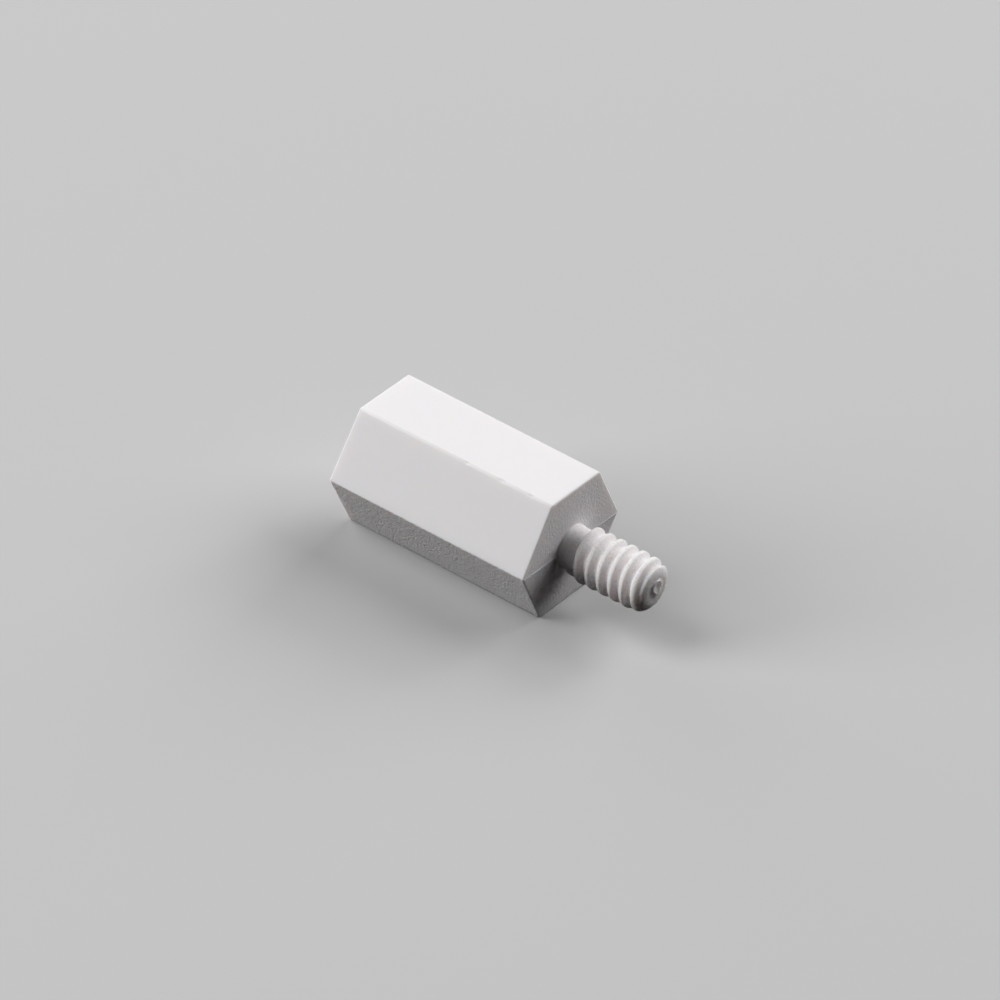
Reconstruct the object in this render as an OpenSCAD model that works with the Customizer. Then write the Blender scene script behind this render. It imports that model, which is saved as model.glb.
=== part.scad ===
// Male-female hex standoff, moulded in one piece in white nylon: a hexagonal
// body with a threaded stud on one end and a blind tapped hole in the other.
// Sizes are in millimetres. The part lies on one of its flats, with the stud
// along +X and the origin in the middle of the shoulder face, where the
// thread's axis meets it.

/* [Body] */
// Width of the hexagon from flat to flat
across_flats = 6.35; // [5:0.05:10]
// Length of the hexagonal body, without the stud
body_length = 11.11; // [9:0.01:40]
// Radius of the four long edges that lie clear of the mould's parting plane
edge_radius = 0.2; // [0.05:0.05:0.5]

/* [Stud] */
// Length of the stud, from the shoulder to its flat tip
stud_length = 4.83; // [3:0.01:8]
// Diameter of the plain neck under the shoulder
neck_d = 2.14; // [2.12:0.01:2.4]
// Length of the plain neck
neck_length = 0.7; // [0.4:0.05:1.2]
// Radius of the fillet where the neck meets the shoulder
neck_fillet = 0.05; // [0.02:0.01:0.2]
// Radius of the tip's rounded edge
tip_radius = 0.72; // [0.3:0.01:1]

/* [Gate mark] */
// Diameter of the pip that the mould's gate leaves on the tip
gate_d = 0.64; // [0.4:0.02:0.7]
// Distance from its middle to its pointed side
gate_reach = 0.5; // [0.36:0.01:0.6]
// Direction of its pointed side, in degrees, from straight down
gate_turn = 13; // [0:1:360]
// How far its middle lies off the stud's axis, along Y and along Z
gate_y = -0.055; // [-0.3:0.005:0.3]
gate_z = 0.245; // [-0.3:0.005:0.3]
// Height of the pip
gate_height = 0.085; // [0.02:0.005:0.2]

/* [Thread] */
// Distance along the stud from one crest to the next
pitch = 0.635; // [0.5:0.005:0.8]
// Diameter over the crests
crest_d = 2.67; // [2.5:0.01:3]
// Diameter at the bottom of the grooves
root_d = 2.09; // [1.9:0.01:2.1]
// Width of the flat on top of a crest
crest_width = 0.17; // [0.08:0.01:0.2]
// Angle between the two flanks of a groove
flank_angle = 60; // [50:1:65]
// Distance from the shoulder at which the ridge begins to rise
thread_start = 0.5; // [0.3:0.01:1]
// Share of a turn over which the ridge rises to its full height
thread_run_in = 0.45; // [0.1:0.05:1]

/* [Tapped hole] */
// Diameter of the hole, as it is before it is tapped
hole_d = 2.26; // [2.1:0.01:2.4]
// Depth of the hole, from the end face
hole_depth = 7.2; // [5:0.1:9]
// Diameter of the countersink at the hole's mouth
countersink_d = 3; // [2.6:0.1:4]

/* [Hidden] */

smooth = 96;            // $fn of the round parts
edge_steps = 4;         // facets round a long edge
columns = 36;           // facets of the thread round the stud
rows = 8;               // facets of the thread across one pitch
flank_rounding = 1.4;   // widens each flank, to round its two edges
thread_turn = -121;     // angle about the stud at which the ridge begins
overlap = 0.5;          // how far a piece reaches into the one that carries it

corner_r = across_flats / sqrt(3);  // from the axis to a sharp corner
thread_depth = (crest_d - root_d) / 2;
flank_width = thread_depth * tan(flank_angle / 2);
turns = ceil((stud_length - thread_start) / pitch) + 1;  // past the tip
lead = ceil(thread_start / pitch) + 1;  // turns without a ridge, in the body

// A curve from 0 to 1 that starts and ends level
function ease(t) = let (s = min(max(t, 0), 1)) s * s * (3 - 2 * s);

// Height of the ridge at a distance along the stud from its middle, from 0 to 1
function ridge(distance) =
    ease(0.5 + ((crest_width + flank_width) / 2 - abs(distance)) / (flank_rounding * flank_width));

// Share of its full height that the ridge has this many turns after it begins
function run_in(turn) = ease(turn / thread_run_in);

// The point of the thread's surface in a column and a row. Columns run along
// the stud. Rows wind round it: after one turn, each meets the row that lies
// a whole pitch further on.
function thread_point(column, row) =
    let (
        turn = row / rows - lead + column / columns,
        crest = round(row / rows) - lead + column / columns,
        radius = root_d / 2 + thread_depth * ridge((turn - crest) * pitch) * run_in(crest),
        angle = 360 * column / columns
    )
    [radius * cos(angle), radius * sin(angle), turn * pitch];

// The corner of the hexagon at an angle, sharp or with a rounded edge
function corner(angle, radius) =
    let (centre = corner_r - radius / cos(30))
    radius == 0
        ? [corner_r * [cos(angle), sin(angle)]]
        : [for (k = [0:edge_steps])
            let (a = angle + 60 * (k / edge_steps - 0.5))
            centre * [cos(angle), sin(angle)] + radius * [cos(a), sin(a)]];

// The hexagonal prism. The mould parts at the two corners at 90 and 270
// degrees, which stay sharp.
module body() {
    translate([0, 0, -body_length])
        linear_extrude(body_length)
            polygon([for (k = [0:5])
                each corner(90 + 60 * k, k % 3 == 0 ? 0 : edge_radius)]);
}

// The plain neck, with a fillet at the shoulder
module neck() {
    translate([0, 0, -overlap])
        cylinder(d = neck_d, h = overlap + neck_length, $fn = smooth);
    rotate_extrude($fn = smooth)
        difference() {
            translate([neck_d / 2 - neck_fillet, -neck_fillet])
                square(2 * neck_fillet);
            translate([neck_d / 2 + neck_fillet, neck_fillet])
                circle(neck_fillet, $fn = smooth);
        }
}

// A rod with the thread wound round it, longer than the stud at both ends.
// A row is a helix, so the sides end in a step one pitch high. The two ends
// are closed by fans of facets that meet on the axis.
module threaded_rod() {
    last = (lead + turns) * rows;
    index = function (column, row)
        column == columns ? row + rows : column * (last + rows + 1) + row;
    side = [for (column = [0:columns - 1]) for (row = [0:last - 1])
        each [
            [index(column, row), index(column + 1, row + 1), index(column + 1, row)],
            [index(column, row), index(column, row + 1), index(column + 1, row + 1)]
        ]];
    low_rim = concat(
        [for (column = [0:columns]) index(column, 0)],
        [for (row = [rows - 1:-1:1]) index(0, row)]
    );
    high_rim = [for (i = low_rim) i + last];
    points = [for (column = [0:columns - 1]) for (row = [0:last + rows])
        thread_point(column, row)];
    low_tip = len(points);
    high_tip = low_tip + 1;
    rim = len(low_rim);
    polyhedron(
        points = concat(points, [
            [0, 0, -(lead + 0.5) * pitch],
            [0, 0, (turns + 1.5) * pitch]
        ]),
        faces = concat(
            side,
            [for (k = [0:rim - 1]) [low_tip, low_rim[k], low_rim[(k + 1) % rim]]],
            [for (k = [0:rim - 1]) [high_tip, high_rim[(k + 1) % rim], high_rim[k]]]
        ),
        convexity = 10
    );
}

// The space that the stud may fill: wider than the thread up to the tip,
// whose edge is rounded down to a small flat
module tip_shape() {
    flat_r = crest_d / 2 - tip_radius;
    round_start = stud_length - tip_radius;
    rotate_extrude($fn = smooth) {
        square([flat_r, stud_length]);
        square([crest_d / 2 + overlap, round_start]);
        intersection() {
            translate([flat_r, round_start]) circle(tip_radius, $fn = smooth);
            translate([0, round_start]) square([crest_d, tip_radius]);
        }
    }
}

// The low pip where the runner was broken off: round, with one pointed side
module gate_mark() {
    gate_r = gate_d / 2;
    lean = acos(gate_r / gate_reach);  // to where the pointed side leaves the round
    translate([-gate_z, gate_y, stud_length - gate_height])
        rotate(gate_turn)
            linear_extrude(2 * gate_height) {
                circle(gate_r, $fn = smooth);
                polygon([
                    [0, 0],
                    0.95 * gate_r * [cos(lean), -sin(lean)],
                    [gate_reach, 0],
                    0.95 * gate_r * [cos(lean), sin(lean)]
                ]);
            }
}

module stud() {
    neck();
    intersection() {
        translate([0, 0, thread_start]) rotate(thread_turn) threaded_rod();
        tip_shape();
    }
    gate_mark();
}

// The blind hole and the countersink at its mouth
module tapped_hole() {
    countersink_depth = (countersink_d - hole_d) / 2;
    translate([0, 0, -body_length]) {
        translate([0, 0, -overlap])
            cylinder(d = hole_d, h = overlap + hole_depth, $fn = smooth);
        translate([0, 0, -0.01])
            cylinder(d1 = countersink_d + 0.02, d2 = hole_d, h = countersink_depth + 0.01, $fn = smooth);
    }
}

module hex_standoff() {
    color("whitesmoke")
        rotate([0, 90, 0])
            difference() {
                union() {
                    body();
                    stud();
                }
                tapped_hole();
            }
}

hex_standoff();
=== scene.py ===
import math

import bmesh
import bpy
from mathutils import Matrix, Vector


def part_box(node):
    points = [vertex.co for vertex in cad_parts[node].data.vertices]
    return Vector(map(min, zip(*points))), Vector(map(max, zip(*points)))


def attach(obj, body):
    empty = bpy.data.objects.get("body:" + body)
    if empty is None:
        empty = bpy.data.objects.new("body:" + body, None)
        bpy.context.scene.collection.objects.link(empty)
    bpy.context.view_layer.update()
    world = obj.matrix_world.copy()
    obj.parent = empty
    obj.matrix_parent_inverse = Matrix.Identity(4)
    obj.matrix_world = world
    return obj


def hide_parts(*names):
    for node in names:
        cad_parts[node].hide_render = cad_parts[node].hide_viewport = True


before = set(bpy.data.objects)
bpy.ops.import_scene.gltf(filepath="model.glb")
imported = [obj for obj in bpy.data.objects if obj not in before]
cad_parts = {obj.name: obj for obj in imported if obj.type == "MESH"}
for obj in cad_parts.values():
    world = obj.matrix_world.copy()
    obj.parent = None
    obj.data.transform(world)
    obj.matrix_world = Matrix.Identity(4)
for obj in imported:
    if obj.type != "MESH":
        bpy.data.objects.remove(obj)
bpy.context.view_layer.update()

# A male-female hex standoff, moulded in one piece in white nylon. It lies on
# one of its flats, with its stud along +X and its shoulder at x = 0. The mould
# parts at z = 0, across the two corners at +Y and -Y.
#
# The mesh is modelled in millimetres and scaled to metres when it is done.
MM = 0.001

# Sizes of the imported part, in millimetres
lowest, highest = (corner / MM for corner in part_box("hex_standoff"))
across_flats = highest.z - lowest.z
body_length = -lowest.x
bench_height = lowest.z

# Body
corner_r = across_flats / math.sqrt(3)
half_corner = math.pi / 6  # half of the angle between one flat and the next
long_edge_r = 0.2
long_edge_steps = 8
parting_edge_r = 0.09
parting_edge_steps = 4
end_edge_r = 0.06
end_edge_steps = 3
draft = math.radians(1.2)
witness_height = 0.045
witness_half_width = 0.045

# Nicks in the upper near edge, from knocks: place along X, half length, depth
nicks = ((-4.9, 0.2, 0.05), (-2.95, 0.3, 0.06), (-1.3, 0.25, 0.055))
nick_cuts = (-1, -0.6, -0.3, 0, 0.3, 0.6, 1)  # shares of the half length

# Both threads
pitch = 0.635
flank_lean = math.radians(30)
columns = 144
arc_steps = 3

# Stud
stud_length = 4.83
neck_r = 1.07
neck_fillet_r = 0.05
fillet_steps = 4
stud_crest_r = 1.335
stud_root_r = 1.045
stud_crest_width = 0.166
stud_rounding = 0.06
stud_first_crest = -1.03
run_in_start = 0.5
run_in_length = 0.285
tip_edge_r = 0.72
tip_cut = 4.7
tip_steps = 6
tip_spread = 2  # how fast the tip's radius grows behind its rounded edge
groove_lip = 0.12

# The fine line that the mould's insert leaves round the neck. Its outline runs from the
# thread to the shoulder: place in fillet radii, share of the height
root_line_height = 0.035
root_line_start = 4
root_line = ((2.8, 0.2), (2.2, 0.9), (1.7, 1), (1.3, 0.6), (1, 0))

# Mark left on the tip where the runner was broken off, with a point on one side
gate_centre = Vector((-0.055, 0.245))
gate_r = 0.32
gate_point = 0.18
gate_point_angle = math.radians(-77)
gate_point_spread = math.radians(28)

# The mark's outline, from outside in: share of the way out to its rim, share of its height
gate_height = 0.085
gate_outer_side = ((1.08, 0), (1.04, 0.12), (1.0, 0.8))
gate_top = ((0.96, 1), (0.9, 1))
gate_dish = ((0.84, 0.9), (0.74, 0.65), (0.6, 0.52), (0.3, 0.45))

# Tapped hole
hole_depth = 7.2
hole_minor_r = 1.13
hole_major_r = 1.42
hole_crest_width = 0.16
hole_rounding = 0.05
hole_first_crest = -12.3
hole_full_thread = 5.4
hole_run_out = 0.95
hole_floor_r = 0.12
hole_floor_steps = 4
countersink_r = 1.5
countersink_lip = 0.05

# Finish. The speckle's colours go from its darkest to its lightest spots. All are a little
# warmer than the white, as painted warm shade on the faces where the speckle shows
nylon_white = (0.86, 0.84, 0.85)
grain_size = 0.12 * MM
speckle_size = 0.1 * MM
speckle_and_shade_tints = (
    (0.32, (0.7, 0.67, 0.675)),
    (0.4, (0.855, 0.825, 0.83)),
    (0.6, (0.875, 0.845, 0.85)),
    (0.68, (0.95, 0.92, 0.92)),
)
bench_grey = (0.55, 0.55, 0.55)
bench_bounce = (0.01, 0.01, 0.01)  # what it sends on to the standoff

# Limits that tell points, edges and faces apart
same = pitch / 1000  # points this close are one
near = pitch / 500  # a point this close to a plane is on it
crowded = pitch / 200  # points of a rim this close are merged
end_depth = 0.1  # how deep an end's parting line and draft reach
end_facing = 0.99  # a face whose normal has more than this along X is on an end
large_face = 1.0  # a face of more square millimetres than this is a flat
flat_angle = math.radians(0.1)  # faces that meet at less than this are one flat

# Studio, with angles in degrees and lengths in metres
bench_half_width = 3.0
sensor_width = 36
lens = 285.54
aim = Vector((-4.032, -0.107, 0.580)) * MM
camera_azimuth = 33.257
camera_elevation = 36.053
camera_roll = 6.177
camera_distance = 361.98 * MM
clip_start = 0.01
lamp_distance = 0.6
lamps = (  # name, azimuth, elevation, size, power in watts
    ("behind", 255, 6, 0.5, 1.6),
    ("far_side_low", 176, 25, 0.3, 1.5),
    ("far_side_high", 151, 40, 0.4, 1.95),
    ("near_side", 315, 21, 0.3, 2.15),
    ("near_side_high", 310, 52, 0.3, 1.4),
)


def ease(t):
    """A curve from 0 to 1 that starts and ends level."""
    s = min(max(t, 0.0), 1.0)
    return s * s * (3 - 2 * s)


def soft_min(a, b, width):
    """The smaller of two radii, with the edge between them rounded off."""
    h = max(width - abs(a - b), 0.0) / width
    return min(a, b) - h * h * width / 4


def soft_max(a, b, width):
    """The larger of two radii, with the corner between them rounded off."""
    return -soft_min(-a, -b, width)


def radius_of(point):
    """Distance of a point from the X axis."""
    return math.hypot(point.y, point.z)


def at_radius(point, x, radius):
    """The point moved along the axis to x and out to a radius."""
    scale = radius / radius_of(point)
    return Vector((x, point.y * scale, point.z * scale))


def looks_along_axis(face):
    """Whether a face looks along the X axis, apart from its draft."""
    return abs(face.normal.x) > end_facing


def verts_in(geom):
    """The vertices in what an operator returns."""
    return [part for part in geom if isinstance(part, bmesh.types.BMVert)]


def everything(bm):
    """The whole mesh, as the operators take it."""
    return bm.verts[:] + bm.edges[:] + bm.faces[:]


def with_borders(faces):
    """Faces with their vertices and edges, as the operators take them."""
    verts = dict.fromkeys(v for f in faces for v in f.verts)
    edges = dict.fromkeys(e for f in faces for e in f.edges)
    return list(verts) + list(edges) + faces


# ---------------------------------------------------------------- threads

def rounded(corners, radius):
    """An open outline whose inner corners are replaced by arcs."""
    points = [corners[0]]
    for before, corner, after in zip(corners, corners[1:], corners[2:]):
        to_before = (before - corner).normalized()
        to_after = (after - corner).normalized()
        half = to_before.angle(to_after) / 2
        centre = corner + (to_before + to_after).normalized() * radius / math.sin(half)
        arm = corner + to_before * radius / math.tan(half) - centre
        end = corner + to_after * radius / math.tan(half) - centre
        turn = -arm.angle_signed(end)
        for step in range(arc_steps + 1):
            points.append(centre + Matrix.Rotation(turn * step / arc_steps, 2) @ arm)
    points.append(corners[-1])
    return points


def thread_outline(crest_r, root_r, crest_width, rounding):
    """One pitch of a thread, groove to groove, as points (distance from the crest, radius)."""
    foot = crest_width / 2 + abs(crest_r - root_r) * math.tan(flank_lean)
    corners = [
        Vector((-pitch / 2, root_r)),
        Vector((-foot, root_r)),
        Vector((-crest_width / 2, crest_r)),
        Vector((crest_width / 2, crest_r)),
        Vector((foot, root_r)),
        Vector((pitch / 2, root_r)),
    ]
    return rounded(corners, rounding)


def wind(outline, first_crest, last_x):
    """A mesh of the outline wound round the X axis as a right-hand helix."""
    turns = math.ceil((last_x - first_crest) / pitch) + 1
    bm = bmesh.new()
    verts = [bm.verts.new((first_crest + x, r, 0)) for x, r in outline]
    edges = [bm.edges.new(pair) for pair in zip(verts, verts[1:])]
    bmesh.ops.subdivide_edges(bm, edges=edges[arc_steps + 1::arc_steps + 1], cuts=1)
    bmesh.ops.spin(
        bm,
        geom=bm.verts[:] + bm.edges[:],
        cent=(0, 0, 0),
        axis=(1, 0, 0),
        dvec=(pitch / columns, 0, 0),
        angle=math.tau,
        steps=columns,
    )
    one_turn = everything(bm)
    for turn in range(1, turns):
        copy = bmesh.ops.duplicate(bm, geom=one_turn)["geom"]
        bmesh.ops.translate(bm, verts=verts_in(copy), vec=(pitch * turn, 0, 0))
    bmesh.ops.remove_doubles(bm, verts=bm.verts, dist=same)
    return bm


def crest_near(point, first_crest):
    """The x of the crest nearest to a point, at the point's own angle."""
    here = first_crest + pitch * math.atan2(point.z, point.y) / math.tau
    return here + pitch * round((point.x - here) / pitch)


def cut_off(bm, x, keep_beyond):
    """Cuts a wound mesh square to the axis and returns the open rim at the cut."""
    bmesh.ops.bisect_plane(
        bm,
        geom=everything(bm),
        dist=same,
        plane_co=(x, 0, 0),
        plane_no=(1, 0, 0),
        clear_outer=not keep_beyond,
        clear_inner=keep_beyond,
    )
    rim = [v for v in bm.verts if v.is_boundary and abs(v.co.x - x) < near]
    bmesh.ops.remove_doubles(bm, verts=rim, dist=crowded)
    return open_rim(bm, x)


def open_rim(bm, x):
    """The open edges of a mesh in a plane square to the axis."""
    return [e for e in bm.edges if e.is_boundary and abs(e.verts[0].co.x - x) < near]


def next_ring(bm, rim, place):
    """Extrudes an open rim to where place puts its points, and returns the new rim."""
    made = bmesh.ops.extrude_edge_only(bm, edges=rim)["geom"]
    for vert in verts_in(made):
        vert.co = place(vert.co)
    return [e for e in made if isinstance(e, bmesh.types.BMEdge) and e.is_boundary]


def round_over(bm, rim, end_x, side_r, bend_r, steps, start=0.0):
    """Extrudes an open rim round an edge, from the side's radius to the end's plane.

    A negative bend_r makes a fillet, which turns outwards. start is the angle that the rim
    has already gone round the edge.
    """
    for step in range(1, steps + 1):
        angle = start + (math.pi / 2 - start) * step / steps
        x = end_x + bend_r * (math.sin(angle) - 1)
        radius = side_r + bend_r * (math.cos(angle) - 1)
        rim = next_ring(bm, rim, lambda co: at_radius(co, x, radius))
    return rim


def close_at(bm, rim, point):
    """Closes an open rim with facets that meet in one point."""
    made = bmesh.ops.extrude_edge_only(bm, edges=rim)["geom"]
    bmesh.ops.pointmerge(bm, verts=verts_in(made), merge_co=point)


# ------------------------------------------------------------------- stud

def tip_radius(x):
    """Radius of the stud's rounded tip, and more than the crests' behind it."""
    beyond = x - (stud_length - tip_edge_r)
    if beyond < 0:
        return stud_crest_r + tip_spread * beyond * beyond
    return stud_crest_r - tip_edge_r + math.sqrt(max(tip_edge_r ** 2 - beyond ** 2, 0.0))


def stud_radius(point):
    """Radius of the stud's surface where the wound outline has a point."""
    crest = crest_near(point, stud_first_crest)
    ridge = ease((crest - run_in_start) / run_in_length)
    radius = neck_r + (radius_of(point) - neck_r) * ridge
    return soft_min(radius, tip_radius(point.x), groove_lip)


def gate_rim(angle):
    """Distance from the gate mark's middle to its rim, which has a point on one side."""
    off = (angle - gate_point_angle + math.pi) % math.tau - math.pi
    return gate_r + gate_point * math.exp(-(off / gate_point_spread) ** 2)


def on_gate(point, share, height):
    """A point of the gate mark, at a share of the way to its rim and a height on the tip."""
    way = Vector((point.y, point.z)) - gate_centre
    flat = gate_centre + way.normalized() * share * gate_rim(math.atan2(way.y, way.x))
    return Vector((stud_length + height, flat.x, flat.y))


def make_stud():
    """The neck, the thread and the tip. Returns the mesh, open at the shoulder."""
    outline = thread_outline(stud_crest_r, stud_root_r, stud_crest_width, stud_rounding)
    bm = wind(outline, stud_first_crest, stud_length)
    for vert in bm.verts:
        vert.co = at_radius(vert.co, vert.co.x, stud_radius(vert.co))

    # The rounded edge of the tip, from the cut to the flat
    rim = cut_off(bm, tip_cut, keep_beyond=False)
    cut_angle = math.asin((tip_cut - stud_length) / tip_edge_r + 1)
    rim = round_over(bm, rim, stud_length, stud_crest_r, tip_edge_r, tip_steps, cut_angle)

    # The gate mark
    for share, height in gate_outer_side + gate_top + gate_dish:
        rim = next_ring(bm, rim, lambda co: on_gate(co, share, height * gate_height))
    close_at(bm, rim, (stud_length, *gate_centre))

    # The line round the neck, and the fillet at the shoulder
    rim = cut_off(bm, root_line_start * neck_fillet_r, keep_beyond=True)
    for place, height in root_line:
        x = place * neck_fillet_r
        radius = neck_r + height * root_line_height
        rim = next_ring(bm, rim, lambda co: at_radius(co, x, radius))
    round_over(bm, rim, 0, neck_r, -neck_fillet_r, fillet_steps)
    return bm


# ------------------------------------------------------------ tapped hole

def make_hole():
    """The countersink, the internal thread and the hole's floor, open at the end face."""
    mouth = -body_length
    outline = thread_outline(hole_minor_r, hole_major_r, hole_crest_width, hole_rounding)
    bm = wind(outline, hole_first_crest, mouth + hole_depth)
    for vert in bm.verts:
        crest = crest_near(vert.co, hole_first_crest)
        depth = 1 - ease((crest - mouth - hole_full_thread) / hole_run_out)
        radius = hole_minor_r + (radius_of(vert.co) - hole_minor_r) * depth
        cone = countersink_r + mouth - vert.co.x
        vert.co = at_radius(vert.co, vert.co.x, soft_max(radius, cone, groove_lip))

    # The floor, with a rounded edge
    floor = mouth + hole_depth
    rim = cut_off(bm, floor - hole_floor_r, keep_beyond=False)
    rim = round_over(bm, rim, floor, hole_minor_r, hole_floor_r, hole_floor_steps)
    close_at(bm, rim, (floor, 0, 0))

    # The mouth
    rim = cut_off(bm, mouth + countersink_lip, keep_beyond=True)
    next_ring(bm, rim, lambda co: at_radius(co, mouth, countersink_r))
    return bm


# ------------------------------------------------------------------- body

def make_body():
    """The hexagonal prism, open at both ends, with its edges rounded and nicked."""
    bm = bmesh.new()
    lying = Matrix.Rotation(math.pi / 2, 4, "Y")
    bmesh.ops.create_circle(bm, cap_ends=True, segments=6, radius=corner_r, matrix=lying)
    parting = [v for v in bm.verts if abs(v.co.z) < end_edge_r]
    others = [v for v in bm.verts if v not in parting]
    for verts, radius, steps in (
        (others, long_edge_r, long_edge_steps),
        (parting, parting_edge_r, parting_edge_steps),
    ):
        bmesh.ops.bevel(
            bm,
            geom=verts,
            offset=radius * math.tan(half_corner),
            offset_type="OFFSET",
            segments=steps,
            profile=0.5,
            affect="VERTICES",
            material=-1,
        )
    made = bmesh.ops.extrude_face_region(bm, geom=bm.faces[:])["geom"]
    bmesh.ops.translate(bm, verts=verts_in(made), vec=(-body_length, 0, 0))
    bmesh.ops.bevel(
        bm,
        geom=[e for e in bm.edges if abs(e.verts[0].co.x - e.verts[1].co.x) < end_edge_r],
        offset=end_edge_r,
        offset_type="OFFSET",
        segments=end_edge_steps,
        profile=0.5,
        affect="EDGES",
        material=-1,
    )
    ends = [f for f in bm.faces if looks_along_axis(f) and f.calc_area() > large_face]
    bmesh.ops.delete(bm, geom=ends, context="FACES_ONLY")
    nick_edge(bm)
    return bm


def nick_edge(bm):
    """Dents the rounding of the upper near edge in a few places."""
    sharp = Vector((0, -corner_r / 2, across_flats / 2))
    reach = long_edge_r * math.tan(half_corner)
    nearest = long_edge_r / math.cos(half_corner) - long_edge_r

    def off_edge(point):
        """Distance from where the edge would be if it were sharp."""
        return math.hypot(point.y - sharp.y, point.z - sharp.z)

    for x, half_length, depth in nicks:
        for share in nick_cuts:
            faces = [f for f in bm.faces if all(off_edge(v.co) < reach + near for v in f.verts)]
            bmesh.ops.bisect_plane(
                bm,
                geom=with_borders(faces),
                dist=near,
                plane_co=(x + share * half_length, 0, 0),
                plane_no=(1, 0, 0),
            )
        for vert in bm.verts:
            along = 1 - abs(vert.co.x - x) / half_length
            across = (reach - off_edge(vert.co)) / (reach - nearest)
            if along > 0 and across > 0:
                vert.co -= sharp.normalized() * depth * ease(along) * ease(across)


def join(bm, part):
    """Adds a part's mesh to another, and frees it."""
    mesh = bpy.data.meshes.new("part")
    part.to_mesh(mesh)
    part.free()
    bm.from_mesh(mesh)
    bpy.data.meshes.remove(mesh)


def finish_end(bm, end_x, outward, blend_from, blend_to):
    """Fills an end face and gives it the raised parting line, with draft on both sides.

    The draft fades out between the radii blend_to and blend_from, where the face meets the
    stud or the hole.
    """
    bmesh.ops.triangle_fill(bm, edges=open_rim(bm, end_x), normal=(outward, 0, 0))

    def on_end(part, depth):
        """Whether a face or an edge is on the end, no deeper than this and clear of the blend."""
        return all(
            abs(v.co.x - end_x) < depth and radius_of(v.co) > blend_to - near
            for v in part.verts
        )

    # Edges along the line and its two sides
    for z in (-witness_half_width, 0, witness_half_width):
        bmesh.ops.bisect_plane(
            bm,
            geom=with_borders([f for f in bm.faces if on_end(f, end_edge_r + near)]),
            dist=near,
            plane_co=(0, 0, z),
            plane_no=(0, 0, 1),
        )

    # The line's height and the draft
    for vert in bm.verts:
        if abs(vert.co.x - end_x) > end_depth:
            continue
        if abs(vert.co.z) < near and abs(vert.co.x - end_x) < near:
            vert.co.x += outward * witness_height
        share = ease((radius_of(vert.co) - blend_from) / (blend_to - blend_from))
        vert.co.x -= outward * abs(vert.co.z) * math.tan(draft) * share
    bm.normal_update()

    # The line is crisp, and the facets beside it are one face
    for edge in bm.edges:
        level = abs(edge.verts[0].co.z - edge.verts[1].co.z) < near
        in_line = all(abs(v.co.z) < witness_half_width + near for v in edge.verts)
        if level and in_line and on_end(edge, end_depth):
            edge.smooth = False
    flat = [
        e for e in bm.edges
        if len(e.link_faces) == 2
        and e.calc_face_angle() < flat_angle
        and all(looks_along_axis(f) for f in e.link_faces)
        and on_end(e, 2 * end_depth)
    ]
    bmesh.ops.dissolve_edges(bm, edges=flat, use_verts=False)


def make_standoff():
    """The whole moulding as one closed mesh."""
    bm = make_body()
    join(bm, make_stud())
    finish_end(bm, 0, 1, neck_r, neck_r + neck_fillet_r)
    join(bm, make_hole())
    finish_end(bm, -body_length, -1, countersink_r - countersink_lip, countersink_r)
    bmesh.ops.recalc_face_normals(bm, faces=bm.faces)
    for face in bm.faces:
        face.smooth = face.calc_area() < large_face
    bmesh.ops.scale(bm, verts=bm.verts, vec=(MM, MM, MM))
    mesh = bpy.data.meshes.new("standoff")
    bm.to_mesh(mesh)
    bm.free()
    standoff = bpy.data.objects.new("standoff", mesh)
    bpy.context.scene.collection.objects.link(standoff)
    return standoff


# --------------------------------------------------------------- materials

def new_material(name):
    """An empty node material, a function that adds a node and one that links two sockets."""
    material = bpy.data.materials.new(name)
    material.use_nodes = True
    nodes = material.node_tree.nodes
    nodes.clear()

    def add(kind, inputs=None, **settings):
        node = nodes.new(kind)
        for key, value in settings.items():
            setattr(node, key, value)
        for socket, value in (inputs or {}).items():
            node.inputs[socket].default_value = value
        return node

    return material, add, material.node_tree.links.new


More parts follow.
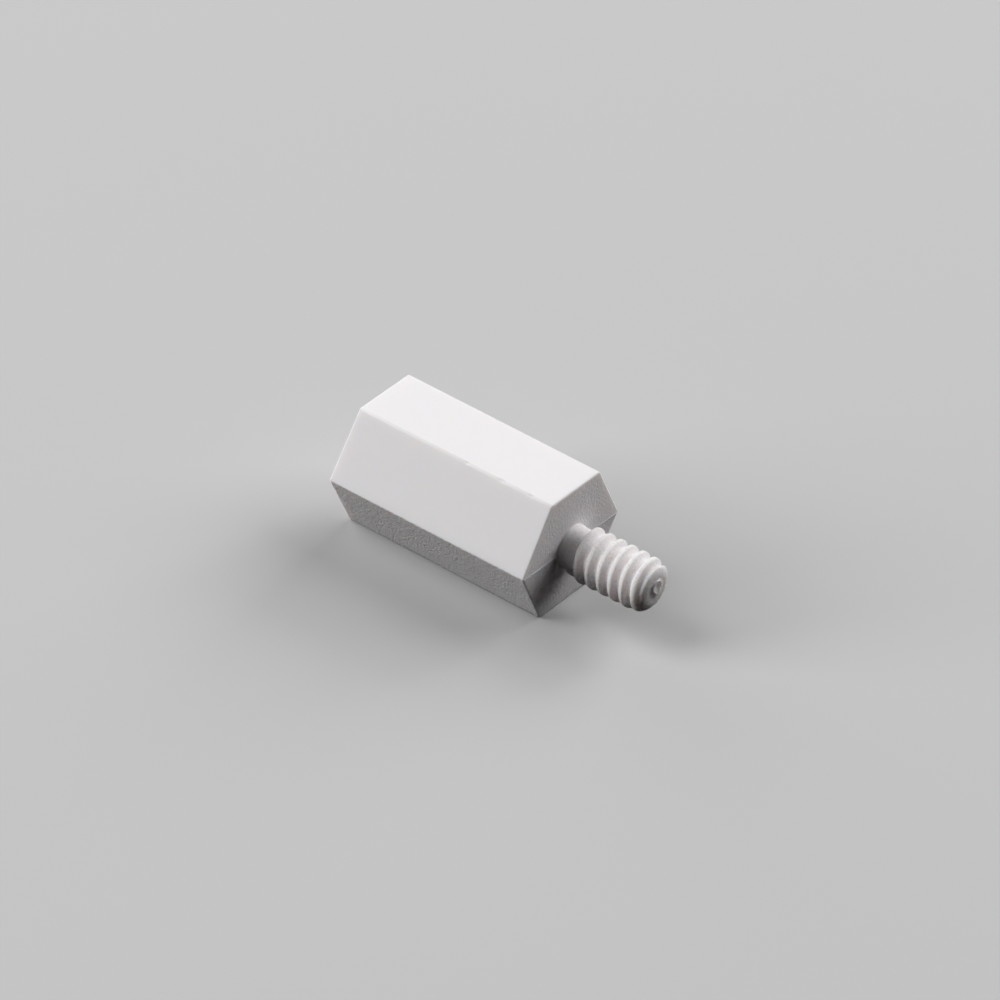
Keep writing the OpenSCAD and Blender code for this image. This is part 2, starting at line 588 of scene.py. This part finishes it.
def white_nylon():
    """White nylon as moulded: satin, slightly translucent, grainier on the lower flats. Its
    speckle there and on the stud is a little warm, as painted shade.
    """
    material, add, link = new_material("white_nylon")
    output = add("ShaderNodeOutputMaterial")
    surface = add("ShaderNodeBsdfPrincipled", {
        "Roughness": 0.6,
        "IOR": 1.53,
        "Specular IOR Level": 0.25,
        "Subsurface Weight": 0.6,
        "Subsurface Radius": (1.0, 0.85, 0.75),
        "Subsurface Scale": 0.5 * MM,
    })
    link(surface.outputs["BSDF"], output.inputs["Surface"])
    place = add("ShaderNodeTexCoord")

    # Grainier the more the surface faces sideways and down, which also lays on more of the
    # speckle's painted warm shade tint
    side = add("ShaderNodeSeparateXYZ")
    link(place.outputs["Normal"], side.inputs["Vector"])
    grainy_and_shade_tinted = add("ShaderNodeMapRange", {"From Min": 0.45, "From Max": -0.5, "To Min": 0.04})
    link(side.outputs["Z"], grainy_and_shade_tinted.inputs["Value"])

    # The grain: a fine unevenness of the surface
    grain = add("ShaderNodeTexNoise", {"Scale": 1 / grain_size, "Detail": 2, "Roughness": 0.6})
    link(place.outputs["Object"], grain.inputs["Vector"])
    bump = add("ShaderNodeBump", {"Distance": 0.09 * MM})
    link(grain.outputs["Fac"], bump.inputs["Height"])
    link(grainy_and_shade_tinted.outputs["Result"], bump.inputs["Strength"])
    link(bump.outputs["Normal"], surface.inputs["Normal"])

    # Speckled, with the speckle's painted warm shade tint, where it is grainy and all round the
    # stud
    along = add("ShaderNodeSeparateXYZ")
    link(place.outputs["Object"], along.inputs["Vector"])
    on_stud = add("ShaderNodeMapRange", {
        "From Min": 0.1 * MM,
        "From Max": 0.3 * MM,
        "To Max": 0.7,
    })
    link(along.outputs["X"], on_stud.inputs["Value"])
    speckled_and_shade_tinted = add("ShaderNodeMath", operation="MAXIMUM")
    link(grainy_and_shade_tinted.outputs["Result"], speckled_and_shade_tinted.inputs[0])
    link(on_stud.outputs["Result"], speckled_and_shade_tinted.inputs[1])

    # The speckle: a few spots a little darker or lighter than the rest, all a little warmer than
    # the white, as painted shade
    speckle = add("ShaderNodeTexNoise", {"Scale": 1 / speckle_size, "Detail": 1})
    link(place.outputs["Object"], speckle.inputs["Vector"])
    shades = add("ShaderNodeValToRGB")
    ramp = shades.color_ramp
    for position, shade in speckle_and_shade_tints[1:-1]:
        ramp.elements.new(position)
    for element, (position, shade) in zip(ramp.elements, speckle_and_shade_tints):
        element.position = position
        element.color = (*shade, 1)
    link(speckle.outputs["Fac"], shades.inputs["Fac"])
    white = add("ShaderNodeMix", {"A": (*nylon_white, 1)}, data_type="RGBA")
    link(speckled_and_shade_tinted.outputs["Value"], white.inputs["Factor"])
    link(shades.outputs["Color"], white.inputs["B"])
    link(white.outputs["Result"], surface.inputs["Base Color"])
    return material


def bench_paint():
    """The plain pale surface that the standoff lies on, and which lights it only faintly."""
    material, add, link = new_material("bench_paint")
    output = add("ShaderNodeOutputMaterial")
    seen = add("ShaderNodeBsdfDiffuse", {"Color": (*bench_grey, 1)})
    bounced = add("ShaderNodeBsdfDiffuse", {"Color": (*bench_bounce, 1)})
    path = add("ShaderNodeLightPath")
    mirrored = add("ShaderNodeMath", operation="MAXIMUM")
    link(path.outputs["Is Glossy Ray"], mirrored.inputs[0])
    link(path.outputs["Is Transmission Ray"], mirrored.inputs[1])
    direct = add("ShaderNodeMath", operation="MAXIMUM")
    link(path.outputs["Is Camera Ray"], direct.inputs[0])
    link(mirrored.outputs["Value"], direct.inputs[1])
    choice = add("ShaderNodeMixShader")
    link(direct.outputs["Value"], choice.inputs["Fac"])
    link(bounced.outputs["BSDF"], choice.inputs[1])
    link(seen.outputs["BSDF"], choice.inputs[2])
    link(choice.outputs["Shader"], output.inputs["Surface"])
    return material


# ------------------------------------------------------------ the studio

def make_bench():
    """A wide floor just under the standoff."""
    bm = bmesh.new()
    bmesh.ops.create_grid(bm, x_segments=1, y_segments=1, size=bench_half_width)
    bmesh.ops.translate(bm, verts=bm.verts, vec=(0, 0, bench_height * MM))
    mesh = bpy.data.meshes.new("bench")
    bm.to_mesh(mesh)
    bm.free()
    bench = bpy.data.objects.new("bench", mesh)
    bpy.context.scene.collection.objects.link(bench)
    bench.data.materials.append(bench_paint())


def facing(azimuth, elevation, roll=0.0):
    """A turn that makes a camera or a lamp look back at the origin from there, in degrees."""
    a, e, r = (math.radians(angle) for angle in (azimuth, elevation, roll))
    turn = Matrix.Rotation(a, 4, "Z") @ Matrix.Rotation(math.pi / 2 - e, 4, "X")
    return turn @ Matrix.Rotation(r, 4, "Z")


def make_lamp(name, azimuth, elevation, size, power):
    """A soft square lamp that faces the standoff."""
    data = bpy.data.lights.new(name, "AREA")
    data.shape = "SQUARE"
    data.size = size
    data.energy = power
    lamp = bpy.data.objects.new(name, data)
    lamp.matrix_world = facing(azimuth, elevation) @ Matrix.Translation((0, 0, lamp_distance))
    bpy.context.scene.collection.objects.link(lamp)


def make_camera():
    """A long lens that looks down on the standoff from its stud end."""
    data = bpy.data.cameras.new("camera")
    data.sensor_width = sensor_width
    data.lens = lens
    data.clip_start = clip_start
    camera = bpy.data.objects.new("camera", data)
    turn = facing(camera_azimuth, camera_elevation, camera_roll)
    back = Matrix.Translation((0, 0, camera_distance))
    camera.matrix_world = Matrix.Translation(aim) @ turn @ back
    bpy.context.scene.collection.objects.link(camera)
    bpy.context.scene.camera = camera


standoff = make_standoff()
standoff.data.materials.append(white_nylon())
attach(standoff, "root")
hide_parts("hex_standoff")

make_bench()
make_camera()
for lamp in lamps:
    make_lamp(*lamp)

world = bpy.data.worlds.new("studio")
world.use_nodes = True
world.node_tree.nodes["Background"].inputs["Strength"].default_value = 0.0
bpy.context.scene.world = world
bpy.context.scene.view_settings.view_transform = "Standard"
